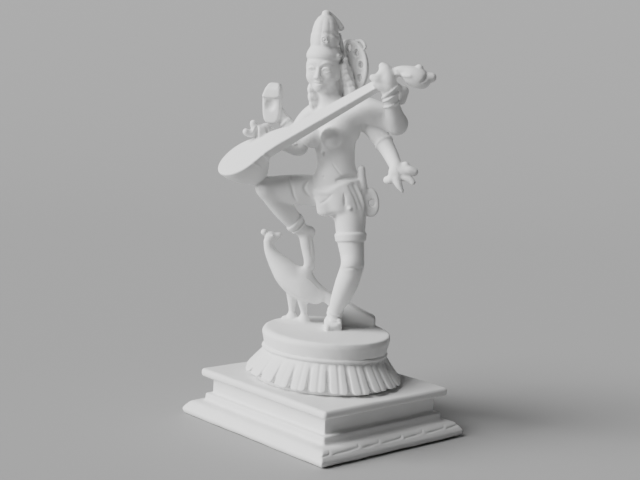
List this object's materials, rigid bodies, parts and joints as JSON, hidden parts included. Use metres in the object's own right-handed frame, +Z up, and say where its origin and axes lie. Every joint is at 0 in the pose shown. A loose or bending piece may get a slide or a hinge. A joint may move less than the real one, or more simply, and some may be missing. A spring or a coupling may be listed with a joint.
{
  "type": "saraswati figure",
  "caption": "Small white figure of a dancing goddess with arms round a long lute, a peacock beside her, on an oval lotus pedestal and a stepped rectangular plinth.",
  "frame": {"origin": "middle of the plinth's underside, on the surface that the figure stands on", "axes": "+Z up to the crown, -Y out of the front of the plinth, +X toward the goddess's left hand"},
  "size_m": [0.131, 0.117, 0.251],
  "materials": {
    "white_plastic": "matte off-white print plastic, even all over, with a very fine grain"
  },
  "bodies": {
    "root": {"figure": "white_plastic", "plinth": "white_plastic"}
  },
  "joints": []
}
